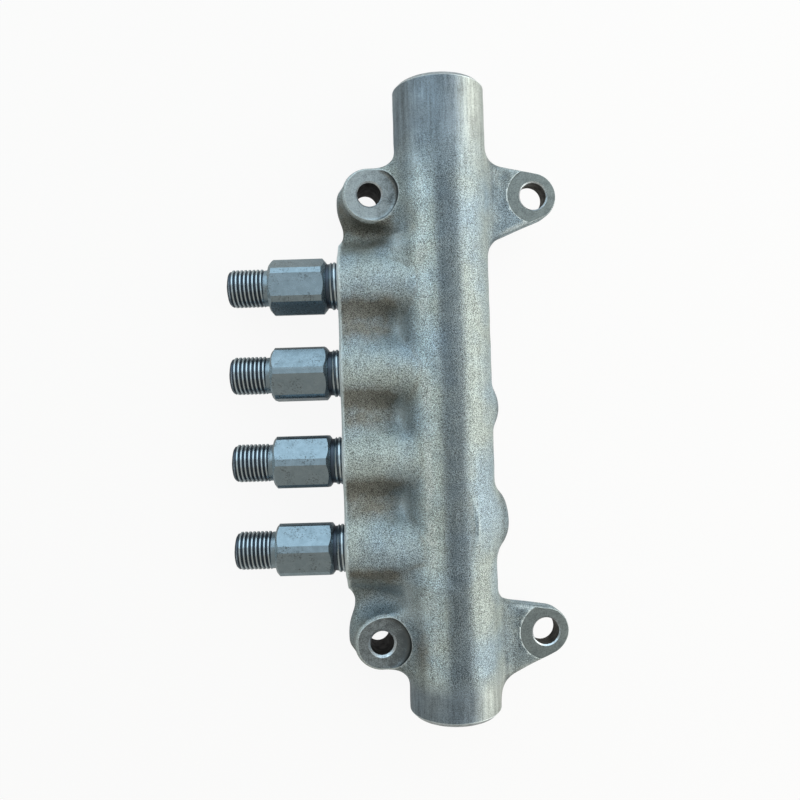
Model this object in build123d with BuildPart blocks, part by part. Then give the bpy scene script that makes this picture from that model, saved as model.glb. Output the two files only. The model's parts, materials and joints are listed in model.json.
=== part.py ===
from build123d import *
from math import cos, radians, sin, tan
import os

os.makedirs("parts", exist_ok=True)

# Frame: the origin lies midway between the two long bolt holes, on their seat.
# +Y runs along the barrel, +Z points away from the engine, the outlets point to -X and droop.

# Bolt pattern
bolt_pitch_y = 165.0
bolt_rows_x = 62.5
long_bolt_bore = 8.8
short_bolt_bore = 10.2

# Barrel
barrel_diameter = 34.0
barrel_x = 27.0
barrel_height = 17.0
barrel_top_end = 122.5
barrel_bottom_end = 109.5
barrel_edge = 1.4
barrel_bore = 10.5
end_port_thread = 18.0
end_port_depth = 20.0
end_port_lead = 1.0
end_seat_angle = 60.0

# Outlet ports
port_count = 4
port_pitch = 32.5
port_shift_y = 1.0
port_height = 18.5
port_droop = 7.0
port_face = 39.0
port_thread = 18.0
port_depth = 17.0
port_lead = 0.8
cross_bore = 3.0

# Gallery forging: heights are above or below the port axis
rib_diameter = 25.0
rib_blend = 4.0
rib_blend_room = 0.5
web_rise = 8.5
web_drop = 8.5
pocket_rise = 2.5
pocket_reach = 18.0
side_web_drop = 4.0
side_web_inset = 2.3
gallery_root = 6.0
gallery_blend = 3.5
face_edge = 0.8

# Tall bosses on the outlet side
boss_height = 19.5
boss_stock = 0.5
boss_top_diameter = 20.0
boss_edge = 2.4
boss_draft = 1.5
boss_foot_height = 2.5
boss_blend = 4.0
spot_diameter = 20.8

# Thin lugs on the far side
lug_face_height = 18.0
lug_thickness = 8.0
lug_radius = 9.0
lug_spot_diameter = 19.5
lug_spot_depth = 0.8
lug_top_flare = 10.0
lug_bottom_flare = 23.0
lug_edge = 1.2
lug_blend = 3.5

# Inlet boss and pad on the far side
far_droop = 8.0
inlet_y = -39.0
inlet_rise = 3.5
inlet_face_diameter = 18.0
inlet_draft = 25.0
inlet_thread = 12.0
inlet_depth = 10.0
pad_y = 3.0
pad_rise = 1.9
pad_face_diameter = 11.0
pad_draft = 30.0
far_root = 8.0
far_edge = 1.4
far_blend = 1.5

# Outlet fitting
stub_length = 4.5
stub_relief_length = 1.3
stub_relief_depth = 1.1
hex_across_flats = 19.0
hex_corner_diameter = 20.7
hex_face_diameter = 17.4
hex_length = 21.0
hex_chamfer_angle = 40.0
hex_turns = [-31.0, 7.0, 3.0, 9.5]
nose_diameter = 15.6
nose_length = 2.5
outlet_thread = 14.0
outlet_length = 15.3
outlet_lead = 1.3
neck_length = 1.2
neck_depth = 1.0
outlet_bore = 3.0
pipe_seat_diameter = 9.0
pipe_seat_angle = 60.0

# Damper inside the fitting
chamber_bore = 8.4
chamber_depth = 30.5
piston_length = 12.0
piston_nose_diameter = 3.6
piston_nose_chamfer = 0.9
piston_bore = 2.4
piston_bore_depth = 13.5
piston_side_port = 1.2
piston_travel = 3.0
spring_wire = 0.7
spring_turns = 5.0
stop_length = 3.0
stop_bore = 5.0
washer_thickness = 1.5
washer_bore = 9.0
washer_diameter = 17.2

# Clearances
thread_gap = 0.05
piston_gap = 0.04
stop_gap = 0.02
spring_gap = 0.35
end_gap = 0.1

# Worked-out places
droop = radians(port_droop)
outward = Vector(-cos(droop), 0, -sin(droop))
far_outward = Vector(cos(radians(far_droop)), 0, -sin(radians(far_droop)))
top_port_y = port_shift_y + (port_count - 1) / 2 * port_pitch
ports_y = [top_port_y - i * port_pitch for i in range(port_count)]
bolts_y = [bolt_pitch_y / 2, -bolt_pitch_y / 2]
barrel_radius = barrel_diameter / 2
barrel_length = barrel_top_end + barrel_bottom_end
inlet_face = barrel_radius + inlet_rise
pad_face = barrel_radius + pad_rise
port_floor = port_face - port_depth
nose_start = port_floor + washer_thickness
hex_start = port_face + stub_length
hex_end = hex_start + hex_length
tip = hex_end + outlet_length
chamber_end = nose_start + chamber_depth
piston_start = nose_start + stop_length + end_gap
shoulder = piston_start + piston_length
piston_tip = chamber_end - end_gap - piston_travel


def port_plane(y, reach):
    """Plane across an outlet's axis, a distance out from the barrel's axis, facing outward."""
    start = Vector(barrel_x, y, port_height)
    return Plane(origin=start + outward * reach, x_dir=(0, -1, 0), z_dir=outward)


def turning_plane(y):
    """Plane through an outlet's axis: x is the distance out from the barrel, y the radius."""
    return Plane(origin=(barrel_x, y, port_height), x_dir=outward, z_dir=(0, 1, 0))


def outlet_axis(y):
    return Axis((barrel_x, y, port_height), outward)


def far_plane(y, reach):
    """Plane across a far-side boss's axis, facing outward."""
    start = Vector(barrel_x, y, barrel_height)
    return Plane(origin=start + far_outward * reach, x_dir=(0, 1, 0), z_dir=far_outward)


def reach_of(edge):
    """How far out along the outlets' direction the middle of an edge lies."""
    return (edge.center() - Vector(barrel_x, 0, port_height)).dot(outward)


# Gallery blank: a web whose top falls from the milled face to pockets beside the barrel, a lower
# web that carries on to each tall boss, and a round rib for each outlet. Two ribs' fillets meet in
# the middle of a pocket at the blend's limit, which is where both touch the floor at half the pitch
side_web_face = port_face - side_web_inset
rib_radius = rib_diameter / 2
blend_limit = ((port_pitch / 2) ** 2 - rib_radius**2 + pocket_rise**2) / (2 * (rib_radius - pocket_rise))
pocket_blend = min(rib_blend, blend_limit - rib_blend_room)
with BuildPart() as gallery:
    with BuildSketch(turning_plane(port_shift_y)):
        with BuildLine():
            Polyline(
                (gallery_root, -web_drop),
                (port_face, -web_drop),
                (port_face, web_rise),
                (pocket_reach, pocket_rise),
                (gallery_root, pocket_rise),
                close=True,
            )
        make_face()
    extrude(amount=(port_count - 1) * port_pitch / 2, both=True)
    with BuildSketch(turning_plane(0)):
        with BuildLine():
            Polyline(
                (gallery_root, -web_drop),
                (side_web_face, -web_drop),
                (side_web_face, -side_web_drop),
                (gallery_root, -side_web_drop),
                close=True,
            )
        make_face()
    extrude(amount=bolt_pitch_y / 2, both=True)
    with BuildSketch(port_plane(port_shift_y, gallery_root)):
        with GridLocations(port_pitch, 0, port_count, 1):
            Circle(rib_radius)
    extrude(amount=port_face - gallery_root)
    rib_seams = gallery.edges(Select.NEW)
    rib_seams = rib_seams.filter_by(lambda e: gallery_root + face_edge < reach_of(e))
    fillet(rib_seams.filter_by(lambda e: reach_of(e) < side_web_face - face_edge), pocket_blend)
    chamfer(gallery.faces().sort_by(Axis.X)[0].edges(), face_edge)

# Boss blank: a drafted boss that runs on to the barrel as a web of its own width
boss_top = boss_height + boss_stock
boss_foot_radius = boss_top_diameter / 2 + (boss_top - boss_foot_height) * tan(radians(boss_draft))
with BuildPart() as boss:
    with BuildSketch(Plane.XY.offset(boss_foot_height)):
        Circle(boss_foot_radius)
        Rectangle(barrel_x, 2 * boss_foot_radius, align=(Align.MIN, Align.CENTER))
    extrude(amount=boss_top - boss_foot_height, taper=boss_draft)
    rim = boss.faces().sort_by(Axis.Z)[-1].edges()
    fillet(rim.filter_by(lambda e: e.center().X < barrel_x - barrel_radius), boss_edge)
    with BuildSketch(Plane.XY):
        Circle(boss_foot_radius)
    extrude(amount=boss_foot_height)

# Lug blank: one thin eye, flared where it meets the barrel
top_flare = radians(lug_top_flare)
bottom_flare = radians(lug_bottom_flare)
top_tangent = Vector(lug_radius * sin(top_flare), lug_radius * cos(top_flare))
bottom_tangent = Vector(lug_radius * sin(bottom_flare), -lug_radius * cos(bottom_flare))
lug_reach = bolt_rows_x - barrel_x
top_root = Vector(-lug_reach, top_tangent.Y + (lug_reach + top_tangent.X) * tan(top_flare))
bottom_root = Vector(
    -lug_reach, bottom_tangent.Y - (lug_reach + bottom_tangent.X) * tan(bottom_flare)
)
lug_floor = lug_face_height - lug_thickness
with BuildPart() as lug:
    with BuildSketch(Plane.XY.offset(lug_floor)):
        with BuildLine():
            Line(top_root, top_tangent)
            ThreePointArc(top_tangent, (lug_radius, 0), bottom_tangent)
            Polyline(bottom_tangent, bottom_root, top_root)
        make_face()
    extrude(amount=lug_thickness + lug_spot_depth)
    outside = lug.edges().filter_by(Axis.Z, reverse=True)
    outside = outside.filter_by(lambda e: e.center().X > -lug_reach + lug_edge)
    fillet(outside, lug_edge)

# Far-side bosses: drafted rounds that swell out of the barrel, square to the inlet's axis
with BuildPart() as inlet_boss:
    with BuildSketch(far_plane(inlet_y, far_root)):
        Circle(inlet_face_diameter / 2 + (inlet_face - far_root) * tan(radians(inlet_draft)))
    extrude(amount=inlet_face - far_root, taper=inlet_draft)
    fillet(inlet_boss.faces().sort_by(Axis.X)[-1].edges(), far_edge)
with BuildPart() as pad:
    with BuildSketch(far_plane(pad_y, far_root)):
        Circle(pad_face_diameter / 2 + (pad_face - far_root) * tan(radians(pad_draft)))
    extrude(amount=pad_face - far_root, taper=pad_draft)
    fillet(pad.faces().sort_by(Axis.X)[-1].edges(), far_edge)

# Rail body: the forging
with BuildPart() as rail_body:
    with BuildSketch(Plane.XZ.offset(barrel_bottom_end)):
        with Locations((barrel_x, barrel_height)):
            Circle(barrel_radius)
    extrude(amount=-barrel_length)
    chamfer(rail_body.edges(), barrel_edge)
    add(gallery.part)
    fillet(rail_body.edges(Select.NEW), gallery_blend)
    with Locations([(bolt_rows_x, y, 0) for y in bolts_y]):
        add(lug.part)
    fillet(rail_body.edges(Select.NEW), lug_blend)
    add(inlet_boss.part)
    fillet(rail_body.edges(Select.NEW), far_blend)
    add(pad.part)
    fillet(rail_body.edges(Select.NEW), far_blend)
    with Locations([(0, y, 0) for y in bolts_y]):
        add(boss.part)
    crown_seams = rail_body.edges(Select.NEW).filter_by(lambda e: e.center().Z > boss_height)
    fillet(crown_seams, boss_blend)

    # Rail body: machining
    with BuildSketch(Plane.XY.offset(boss_height)):
        with Locations([(0, y) for y in bolts_y]):
            Circle(spot_diameter / 2)
    extrude(amount=barrel_height, mode=Mode.SUBTRACT)
    with BuildSketch(Plane.XY.offset(lug_face_height)):
        with Locations([(bolt_rows_x, y) for y in bolts_y]):
            Circle(lug_spot_diameter / 2)
    extrude(amount=barrel_height, mode=Mode.SUBTRACT)
    with BuildSketch(Plane.XY):
        with Locations([(0, y) for y in bolts_y]):
            Circle(long_bolt_bore / 2)
        with Locations([(bolt_rows_x, y) for y in bolts_y]):
            Circle(short_bolt_bore / 2)
    extrude(amount=barrel_diameter, mode=Mode.SUBTRACT)
    with BuildSketch(Plane.XZ.offset(barrel_bottom_end)):
        with Locations((barrel_x, barrel_height)):
            Circle(barrel_bore / 2)
    extrude(amount=-barrel_length, mode=Mode.SUBTRACT)
    for end_plane in (
        Plane((barrel_x, barrel_top_end, barrel_height), x_dir=(1, 0, 0), z_dir=(0, 1, 0)),
        Plane((barrel_x, -barrel_bottom_end, barrel_height), x_dir=(1, 0, 0), z_dir=(0, -1, 0)),
    ):
        end_radius = end_port_thread / 2
        seat_depth = (end_radius - barrel_bore / 2) / tan(radians(end_seat_angle / 2))
        with BuildSketch(Plane(end_plane.origin, x_dir=end_plane.z_dir, z_dir=end_plane.x_dir)):
            with BuildLine():
                Polyline(
                    (0, 0),
                    (0, end_radius + end_port_lead),
                    (-end_port_lead, end_radius),
                    (-end_port_depth, end_radius),
                    (-end_port_depth - seat_depth, barrel_bore / 2),
                    (-end_port_depth - seat_depth, 0),
                    close=True,
                )
            make_face()
        revolve(axis=Axis(end_plane.origin, end_plane.z_dir), mode=Mode.SUBTRACT)
    for y in ports_y:
        with BuildSketch(turning_plane(y)):
            with BuildLine():
                Polyline(
                    (0, 0),
                    (0, cross_bore / 2),
                    (port_floor, cross_bore / 2),
                    (port_floor, port_thread / 2),
                    (port_face - port_lead, port_thread / 2),
                    (port_face, port_thread / 2 + port_lead),
                    (port_face, 0),
                    close=True,
                )
            make_face()
        revolve(axis=outlet_axis(y), mode=Mode.SUBTRACT)
    with BuildSketch(far_plane(inlet_y, 0)):
        Circle(cross_bore / 2)
    extrude(amount=inlet_face, mode=Mode.SUBTRACT)
    with BuildSketch(far_plane(inlet_y, inlet_face - inlet_depth)):
        Circle(inlet_thread / 2)
    extrude(amount=inlet_depth, mode=Mode.SUBTRACT)

rail_body.part.label = "rail_body"
export_step(rail_body.part, "parts/rail_body.step")

# One damper set for each outlet
hex_cone = tan(radians(hex_chamfer_angle))
hex_corner_radius = hex_corner_diameter / 2
hex_face_radius = hex_face_diameter / 2
corner_drop = (hex_corner_radius - hex_face_radius) * hex_cone
thread_radius = port_thread / 2 - thread_gap
outlet_radius = outlet_thread / 2
neck_radius = outlet_radius - neck_depth
seat_radius = pipe_seat_diameter / 2
seat_depth = (seat_radius - outlet_bore / 2) / tan(radians(pipe_seat_angle / 2))
chamber_radius = chamber_bore / 2
piston_radius = chamber_radius - piston_gap
coil_radius = chamber_radius - spring_gap - spring_wire / 2
coil_length = chamber_end - shoulder - 2 * end_gap - spring_wire
for number, y in enumerate(ports_y, start=1):
    with BuildPart() as damper_housing:
        with BuildSketch(port_plane(y, hex_start)):
            RegularPolygon(hex_across_flats / 2, 6, major_radius=False, rotation=hex_turns[number - 1])
        extrude(amount=hex_length)
        with BuildSketch(turning_plane(y)):
            with BuildLine():
                Polyline(
                    (hex_start, 0),
                    (hex_start, hex_face_radius),
                    (hex_start + corner_drop, hex_corner_radius),
                    (hex_end - corner_drop, hex_corner_radius),
                    (hex_end, hex_face_radius),
                    (hex_end, 0),
                    close=True,
                )
            make_face()
        revolve(axis=outlet_axis(y), mode=Mode.INTERSECT)
        with BuildSketch(turning_plane(y)):
            with BuildLine():
                Polyline(
                    (nose_start, 0),
                    (nose_start, nose_diameter / 2),
                    (nose_start + nose_length, nose_diameter / 2),
                    (nose_start + nose_length + port_lead, thread_radius),
                    (hex_start - stub_relief_length - port_lead, thread_radius),
                    (hex_start - stub_relief_length, thread_radius - stub_relief_depth),
                    (hex_start, thread_radius - stub_relief_depth),
                    (hex_end, thread_radius - stub_relief_depth),
                    (hex_end, neck_radius),
                    (hex_end + neck_length, neck_radius),
                    (hex_end + neck_length + neck_depth, outlet_radius),
                    (tip - outlet_lead, outlet_radius),
                    (tip, outlet_radius - outlet_lead),
                    (tip, 0),
                    close=True,
                )
            make_face()
        revolve(axis=outlet_axis(y))
        with BuildSketch(turning_plane(y)):
            with BuildLine():
                Polyline(
                    (nose_start, 0),
                    (nose_start, chamber_radius),
                    (chamber_end, chamber_radius),
                    (chamber_end, outlet_bore / 2),
                    (tip - seat_depth, outlet_bore / 2),
                    (tip, seat_radius),
                    (tip, 0),
                    close=True,
                )
            make_face()
        revolve(axis=outlet_axis(y), mode=Mode.SUBTRACT)

    with BuildPart() as damper_piston:
        with BuildSketch(turning_plane(y)):
            with BuildLine():
                Polyline(
                    (piston_start, piston_bore / 2),
                    (piston_start, piston_radius),
                    (shoulder, piston_radius),
                    (shoulder, piston_nose_diameter / 2),
                    (piston_tip - piston_nose_chamfer, piston_nose_diameter / 2),
                    (piston_tip, piston_nose_diameter / 2 - piston_nose_chamfer),
                    (piston_tip, 0),
                    (piston_start + piston_bore_depth, 0),
                    (piston_start + piston_bore_depth, piston_bore / 2),
                    close=True,
                )
            make_face()
        revolve(axis=outlet_axis(y))
        side_port_reach = shoulder + (piston_bore_depth - piston_length) / 2
        start = Vector(barrel_x, y, port_height) + outward * side_port_reach
        with BuildSketch(Plane(start, x_dir=outward, z_dir=(0, 1, 0))):
            Circle(piston_side_port / 2)
        extrude(amount=piston_nose_diameter, both=True, mode=Mode.SUBTRACT)

    with BuildPart() as damper_spring:
        foot = port_plane(y, shoulder + end_gap + spring_wire / 2).origin
        with BuildLine():
            coil = Helix(
                coil_length / spring_turns, coil_length, coil_radius, center=foot, direction=outward
            )
        with BuildSketch(Plane(coil @ 0, z_dir=coil % 0)):
            RegularPolygon(spring_wire / 2, 6)
        sweep(is_frenet=True)

    with BuildPart() as damper_stop:
        with BuildSketch(port_plane(y, nose_start)):
            Circle(chamber_radius - stop_gap)
            Circle(stop_bore / 2, mode=Mode.SUBTRACT)
        extrude(amount=stop_length)

    with BuildPart() as seat_washer:
        with BuildSketch(port_plane(y, port_floor)):
            Circle(washer_diameter / 2)
            Circle(washer_bore / 2, mode=Mode.SUBTRACT)
        extrude(amount=washer_thickness)

    for piece, name in (
        (damper_housing, "damper_housing"),
        (damper_piston, "damper_piston"),
        (damper_spring, "damper_spring"),
        (damper_stop, "damper_stop"),
        (seat_washer, "seat_washer"),
    ):
        piece.part.label = f"{name}_{number}"
        export_step(piece.part, f"parts/{name}_{number}.step")
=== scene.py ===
import json
from math import cos, pi, radians, sin, tan

import bmesh
import bpy
import numpy as np
from mathutils import Matrix, Vector


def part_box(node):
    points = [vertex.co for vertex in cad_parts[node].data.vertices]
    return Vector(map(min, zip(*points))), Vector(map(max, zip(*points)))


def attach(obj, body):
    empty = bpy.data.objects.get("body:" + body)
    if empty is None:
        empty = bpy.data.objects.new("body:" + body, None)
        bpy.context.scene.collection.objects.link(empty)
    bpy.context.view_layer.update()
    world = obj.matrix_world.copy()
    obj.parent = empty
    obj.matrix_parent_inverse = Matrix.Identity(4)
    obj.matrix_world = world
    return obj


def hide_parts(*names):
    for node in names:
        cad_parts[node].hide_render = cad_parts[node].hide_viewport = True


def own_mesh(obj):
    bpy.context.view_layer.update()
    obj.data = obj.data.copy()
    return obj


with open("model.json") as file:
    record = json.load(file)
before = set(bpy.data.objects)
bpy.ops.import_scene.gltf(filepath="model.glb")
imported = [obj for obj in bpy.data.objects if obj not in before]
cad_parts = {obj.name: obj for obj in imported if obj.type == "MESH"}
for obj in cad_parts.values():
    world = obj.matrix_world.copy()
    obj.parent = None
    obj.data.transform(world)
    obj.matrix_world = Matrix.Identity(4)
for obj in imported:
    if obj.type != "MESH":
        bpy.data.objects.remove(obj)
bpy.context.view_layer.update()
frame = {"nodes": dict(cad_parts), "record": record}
mm = 0.001
mounts = {mount["name"]: mount for mount in frame["record"]["mounts"]}


# Camera
# The photograph looks down on the rail from a little to the outlet side, about 290 mm up. Its place,
# turn and focal length were fitted to the bolt holes, barrel edges and fittings. The turn is a vector
# along its axis, as long as its angle.

camera_place = Vector((-23.149, 5.448, 290.27)) * mm
camera_turn = Vector((-0.006, 0.1186, 0.0298))
focal_pixels = 739.86
picture_width = 800

camera = bpy.data.objects.new("camera", bpy.data.cameras.new("camera"))
bpy.context.scene.collection.objects.link(camera)
camera.data.sensor_fit = "HORIZONTAL"
camera.data.lens = focal_pixels / picture_width * camera.data.sensor_width
camera.data.clip_start = 0.01
to_camera = Matrix.Rotation(camera_turn.length, 4, camera_turn.normalized())
camera.matrix_world = Matrix.Translation(camera_place) @ to_camera.transposed()
bpy.context.scene.camera = camera


# Rail forging
# The body is one drop forging in alloy steel: barrel, ribbed gallery, tall bosses, thin lugs and two
# swellings on the far side, run together with soft radii. A field gives the distance to the blank in
# millimetres, and its zero surface is meshed here and machined in the next section.

body_low, body_high = (np.array(corner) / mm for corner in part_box("rail_body"))
barrel_ends = (body_low[1], body_high[1])
barrel_x, _, barrel_z = np.array(mounts["end_port_top"]["pos_m"]) / mm
barrel_radius = body_high[2] - barrel_z
bolt_y = mounts["long_bolts"]["dims"]["spacing_y_mm"] / 2
lug_x, _, lug_floor = np.array(mounts["short_bolts"]["pos_m"]) / mm
outlets = [mounts[f"outlet_{i}"] for i in range(1, 5)]
outlet_way = np.array(outlets[0]["axis"])
outlet_up = np.cross((0, 1, 0), outlet_way)
outlet_places = [np.array(outlet["pos_m"]) / mm for outlet in outlets]
outlet_reach = (outlet_places[0][0] - barrel_x) / outlet_way[0]
outlet_feet = [place - outlet_way * outlet_reach for place in outlet_places]
port_pitch = outlet_feet[0][1] - outlet_feet[1][1]
gallery_middle = (outlet_feet[0][1] + outlet_feet[3][1]) / 2
inlet_way = np.array(mounts["inlet_port"]["axis"])
inlet_place = np.array(mounts["inlet_port"]["pos_m"]) / mm
inlet_reach = (inlet_place[0] - barrel_x) / inlet_way[0]
inlet_foot = inlet_place - inlet_way * inlet_reach
inlet_face = inlet_reach + mounts["inlet_port"]["dims"]["length_mm"] / 2
port_face, face_edge, stock = 39.0, 0.9, 1.5
rib_radius, rib_fillet = 12.5, 4.7
web_rise, web_drop, web_edge, web_slope = 8.5, 8.5, 2.0, 1.06
pocket_rise, pocket_reach, pocket_power = 2.5, 18.0, 1.6
side_web_drop, side_web_inset, side_web_corner, side_web_edge = 4.0, 2.3, 1.5, 2.5
gallery_root, side_web_root = 9.0, 6.0
boss_top, boss_stock, boss_radius, boss_edge = 19.5, 0.5, 10.0, 2.8
boss_foot, boss_draft, seat_pass = 2.5, radians(1.5), 13.0
lug_top, lug_stock, lug_radius, lug_edge = 18.0, 0.8, 9.0, 2.0
upper_flare, lower_flare = radians(10), radians(23)
swelling_root, swelling_edge = 6.0, 2.5
inlet_radius, inlet_draft = 9.0, radians(25)
pad_y, pad_face, pad_radius, pad_draft = 3.0, 18.9, 5.5, radians(30)
gallery_seam, gallery_end_seam, side_web_seam = 2.2, 12.0, 12.0
boss_seam, lug_seam, inlet_seam, pad_seam = 8.0, 7.0, 5.0, 4.0
unevenness = 0.04


def ramp(value, start, end):
    """Goes evenly from 0 at the start to 1 at the end, and stays so beyond them."""
    return np.clip((value - start) / (end - start), 0, 1)


def soft_union(a, b, reach):
    """The lesser of two distances, lowered where they differ by less than reach, which fills the corner."""
    close = np.maximum(reach - np.abs(a - b), 0) / reach
    return np.minimum(a, b) - close * close * reach / 4


def soft_common(a, b, reach):
    """The greater of two distances, raised where they differ by less than reach, which rounds the edge."""
    return -soft_union(-a, -b, reach)


def rounded(a, b, radius):
    """The greater of two distances, with the edge between them rounded: the distance from the middle
    of the round, a radius inside both, less the radius."""
    u, v = a + radius, b + radius
    return np.hypot(np.maximum(u, 0), np.maximum(v, 0)) + np.minimum(np.maximum(u, v), 0) - radius


def along_and_up(x, z, foot, way, up):
    """How far a point lies out along an axis in the XZ plane, and above it."""
    return (
        (x - foot[0]) * way[0] + (z - foot[2]) * way[2],
        (x - foot[0]) * up[0] + (z - foot[2]) * up[2],
    )


def gallery_field(x, y, z):
    """A web, a round rib along each outlet, and a chamfer of 45 degrees round the milled face. The
    web's top falls to pockets beside the barrel by a power of the share of the way back."""
    out, up = along_and_up(x, z, outlet_feet[0], outlet_way, outlet_up)
    along = y - gallery_middle
    back = ramp(out, port_face, pocket_reach)
    top = web_rise - (web_rise - pocket_rise) * back**pocket_power
    web = soft_common((up - top) / web_slope, -up - web_drop, web_edge)
    web = np.maximum(web, np.abs(along) - 1.5 * port_pitch)
    nearest = np.clip(np.round(along / port_pitch - 0.5) + 0.5, -1.5, 1.5) * port_pitch
    ribs = np.hypot(along - nearest, up) - rib_radius
    wave = soft_union(web, ribs, rib_fillet)
    wave = np.maximum(wave, (wave + out - port_face + face_edge) / np.sqrt(2))
    return np.maximum(wave, np.maximum(out - port_face - stock, gallery_root - out))


def side_web_field(x, y, z):
    """A lower web with round edges that carries on past the ribs to both bosses."""
    out, up = along_and_up(x, z, outlet_feet[0], outlet_way, outlet_up)
    half = (web_drop - side_web_drop) / 2
    side = rounded(np.abs(y) - bolt_y, np.abs(up + web_drop - half) - half, side_web_corner)
    front = soft_common(side, out - port_face + side_web_inset, side_web_edge)
    return np.maximum(front, side_web_root - out)


def boss_field(x, y, z):
    """Drafted round boss with a rounded rim, which runs on to the barrel as a web of its own width."""
    across = np.abs(y) - bolt_y
    along = x - np.clip(x, 0, barrel_x)
    radius = boss_radius + (boss_top + boss_stock - z) * tan(boss_draft)
    web = soft_common(np.hypot(along, across) - radius, z - boss_top - boss_stock, boss_edge)
    foot = np.maximum(np.hypot(x, across) - radius, np.maximum(z - boss_foot, -z) - stock)
    return np.minimum(np.maximum(web, boss_foot - z), foot)


def lug_field(x, y, z):
    """Flat eye with round edges: a circle about the bolt and two flared sides that are tangent to it."""
    dx = x - lug_x
    dy = y - np.where(y > 0, bolt_y, -bolt_y)
    upper = dx * sin(upper_flare) + dy * cos(upper_flare)
    lower = dx * sin(lower_flare) - dy * cos(lower_flare)
    turn = np.arctan2(dy, dx)
    tip = (turn > lower_flare - pi / 2) & (turn < pi / 2 - upper_flare)
    outline = np.where(tip, np.hypot(dx, dy), np.maximum(upper, lower)) - lug_radius
    outline = np.maximum(outline, barrel_x - x)
    half = (lug_top + lug_stock - lug_floor) / 2
    return rounded(outline, np.abs(z - lug_floor - half) - half, lug_edge)


def swelling_field(x, y, z, middle_y, face, face_radius, draft):
    """Drafted cone that points to the far side and a little down, with a rounded rim."""
    out, up = along_and_up(x, z, inlet_foot, inlet_way, np.cross((0, 1, 0), inlet_way))
    cone = np.hypot(y - middle_y, up) - face_radius - (face - out) * tan(draft)
    return soft_common(np.maximum(cone * cos(draft), swelling_root - out), out - face, swelling_edge)


def forging_field(x, y, z):
    """Soft union of all the blank's forms, each with the fillet of its seam. The gallery's seam is
    tight along the ribs and wide past them. Slow waves leave the skin uneven by under 0.1 mm."""
    body = np.hypot(x - barrel_x, z - barrel_z) - barrel_radius
    body = np.maximum(body, np.maximum(y - barrel_ends[1], barrel_ends[0] - y) - stock)
    body = soft_union(body, side_web_field(x, y, z), side_web_seam)
    past_ribs = ramp((np.abs(y - gallery_middle) - 1.5 * port_pitch) / rib_radius, 0.4, 1.0)
    seam = gallery_seam + (gallery_end_seam - gallery_seam) * past_ribs
    body = soft_union(body, gallery_field(x, y, z), seam)
    body = soft_union(body, boss_field(x, y, z), boss_seam)
    body = soft_union(body, lug_field(x, y, z), lug_seam)
    inlet = swelling_field(x, y, z, inlet_foot[1], inlet_face, inlet_radius, inlet_draft)
    body = soft_union(body, inlet, inlet_seam)
    body = soft_union(body, swelling_field(x, y, z, pad_y, pad_face, pad_radius, pad_draft), pad_seam)
    by_boss = (np.abs(np.abs(y) - bolt_y) < seat_pass) & (x < seat_pass)
    body = np.maximum(body, -z - np.where(by_boss, stock, 0))
    uneven = np.sin(x * 0.41 + y * 0.13) * np.sin(y * 0.23 - z * 0.31) + np.sin(y * 0.57 + x * 0.2)
    return body + unevenness * uneven


def slope(field, points, step=0.05):
    """The field's gradient at each point, from differences along the three axes."""
    sides = [field(*(points + step * unit).T) - field(*(points - step * unit).T) for unit in np.eye(3)]
    return np.stack(sides, 1) / (2 * step)


def skin(field, low, high, step, rounds=4, draws=2, least_slope=0.05):
    """Surface nets. Each lattice cell that the zero surface crosses gets a point at the mean of the
    crossings on its edges, and each crossed lattice edge gets a face between its four cells. The
    points are then spread evenly, half way to their neighbours' mean in each round, and drawn onto
    the surface by steps of distance over slope."""
    axes = [np.arange(a, b + step, step) for a, b in zip(low, high)]
    value = field(*np.meshgrid(*axes, indexing="ij", sparse=True))
    cells = np.array(value.shape) - 1
    total = np.zeros((cells.prod(), 3))
    count = np.zeros(cells.prod())
    quads = []
    for axis in range(3):
        near = np.take(value, range(cells[axis]), axis)
        far = np.take(value, range(1, cells[axis] + 1), axis)
        found = np.argwhere((near < 0) != (far < 0))
        inside, outside = near[tuple(found.T)], far[tuple(found.T)]
        crossing = found.astype(float)
        crossing[:, axis] += inside / (inside - outside)
        corners = []
        for back in ((0, 0), (1, 0), (1, 1), (0, 1)):
            cell = found.copy()
            cell[:, (axis + 1) % 3] -= back[0]
            cell[:, (axis + 2) % 3] -= back[1]
            corners.append(np.ravel_multi_index(np.clip(cell, 0, cells - 1).T, cells))
            np.add.at(total, corners[-1], crossing)
            np.add.at(count, corners[-1], 1)
        quad = np.stack(corners, 1)
        quads.append(np.where(inside[:, None] < 0, quad[:, ::-1], quad))
    used, quads = np.unique(np.concatenate(quads), return_inverse=True)
    quads = quads.reshape(-1, 4)
    points = total[used] / count[used, None] * step + np.array([a[0] for a in axes])
    ends = np.concatenate([quads, np.roll(quads, 1, 1)]).ravel()
    partners = np.concatenate([np.roll(quads, 1, 1), quads]).ravel()
    degree = np.bincount(ends)[:, None]
    for _ in range(rounds):
        mean = np.stack([np.bincount(ends, points[partners, k]) for k in range(3)], 1) / degree
        points += 0.5 * (mean - points)
        for _ in range(draws):
            fall = slope(field, points)
            steep = np.maximum((fall * fall).sum(1), least_slope)
            points -= (field(*points.T) / steep)[:, None] * fall
    return points, quads


def new_piece(name, points, faces):
    """A mesh object at the origin from points in millimetres, its doubled points made one."""
    mesh = bpy.data.meshes.new(name)
    mesh.from_pydata((points * mm).tolist(), [], faces.tolist())
    tidy = bmesh.new()
    tidy.from_mesh(mesh)
    bmesh.ops.remove_doubles(tidy, verts=tidy.verts, dist=0.0005 * mm)
    bmesh.ops.recalc_face_normals(tidy, faces=tidy.faces)
    tidy.to_mesh(mesh)
    tidy.free()
    piece = bpy.data.objects.new(name, mesh)
    bpy.context.scene.collection.objects.link(piece)
    return piece


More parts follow.
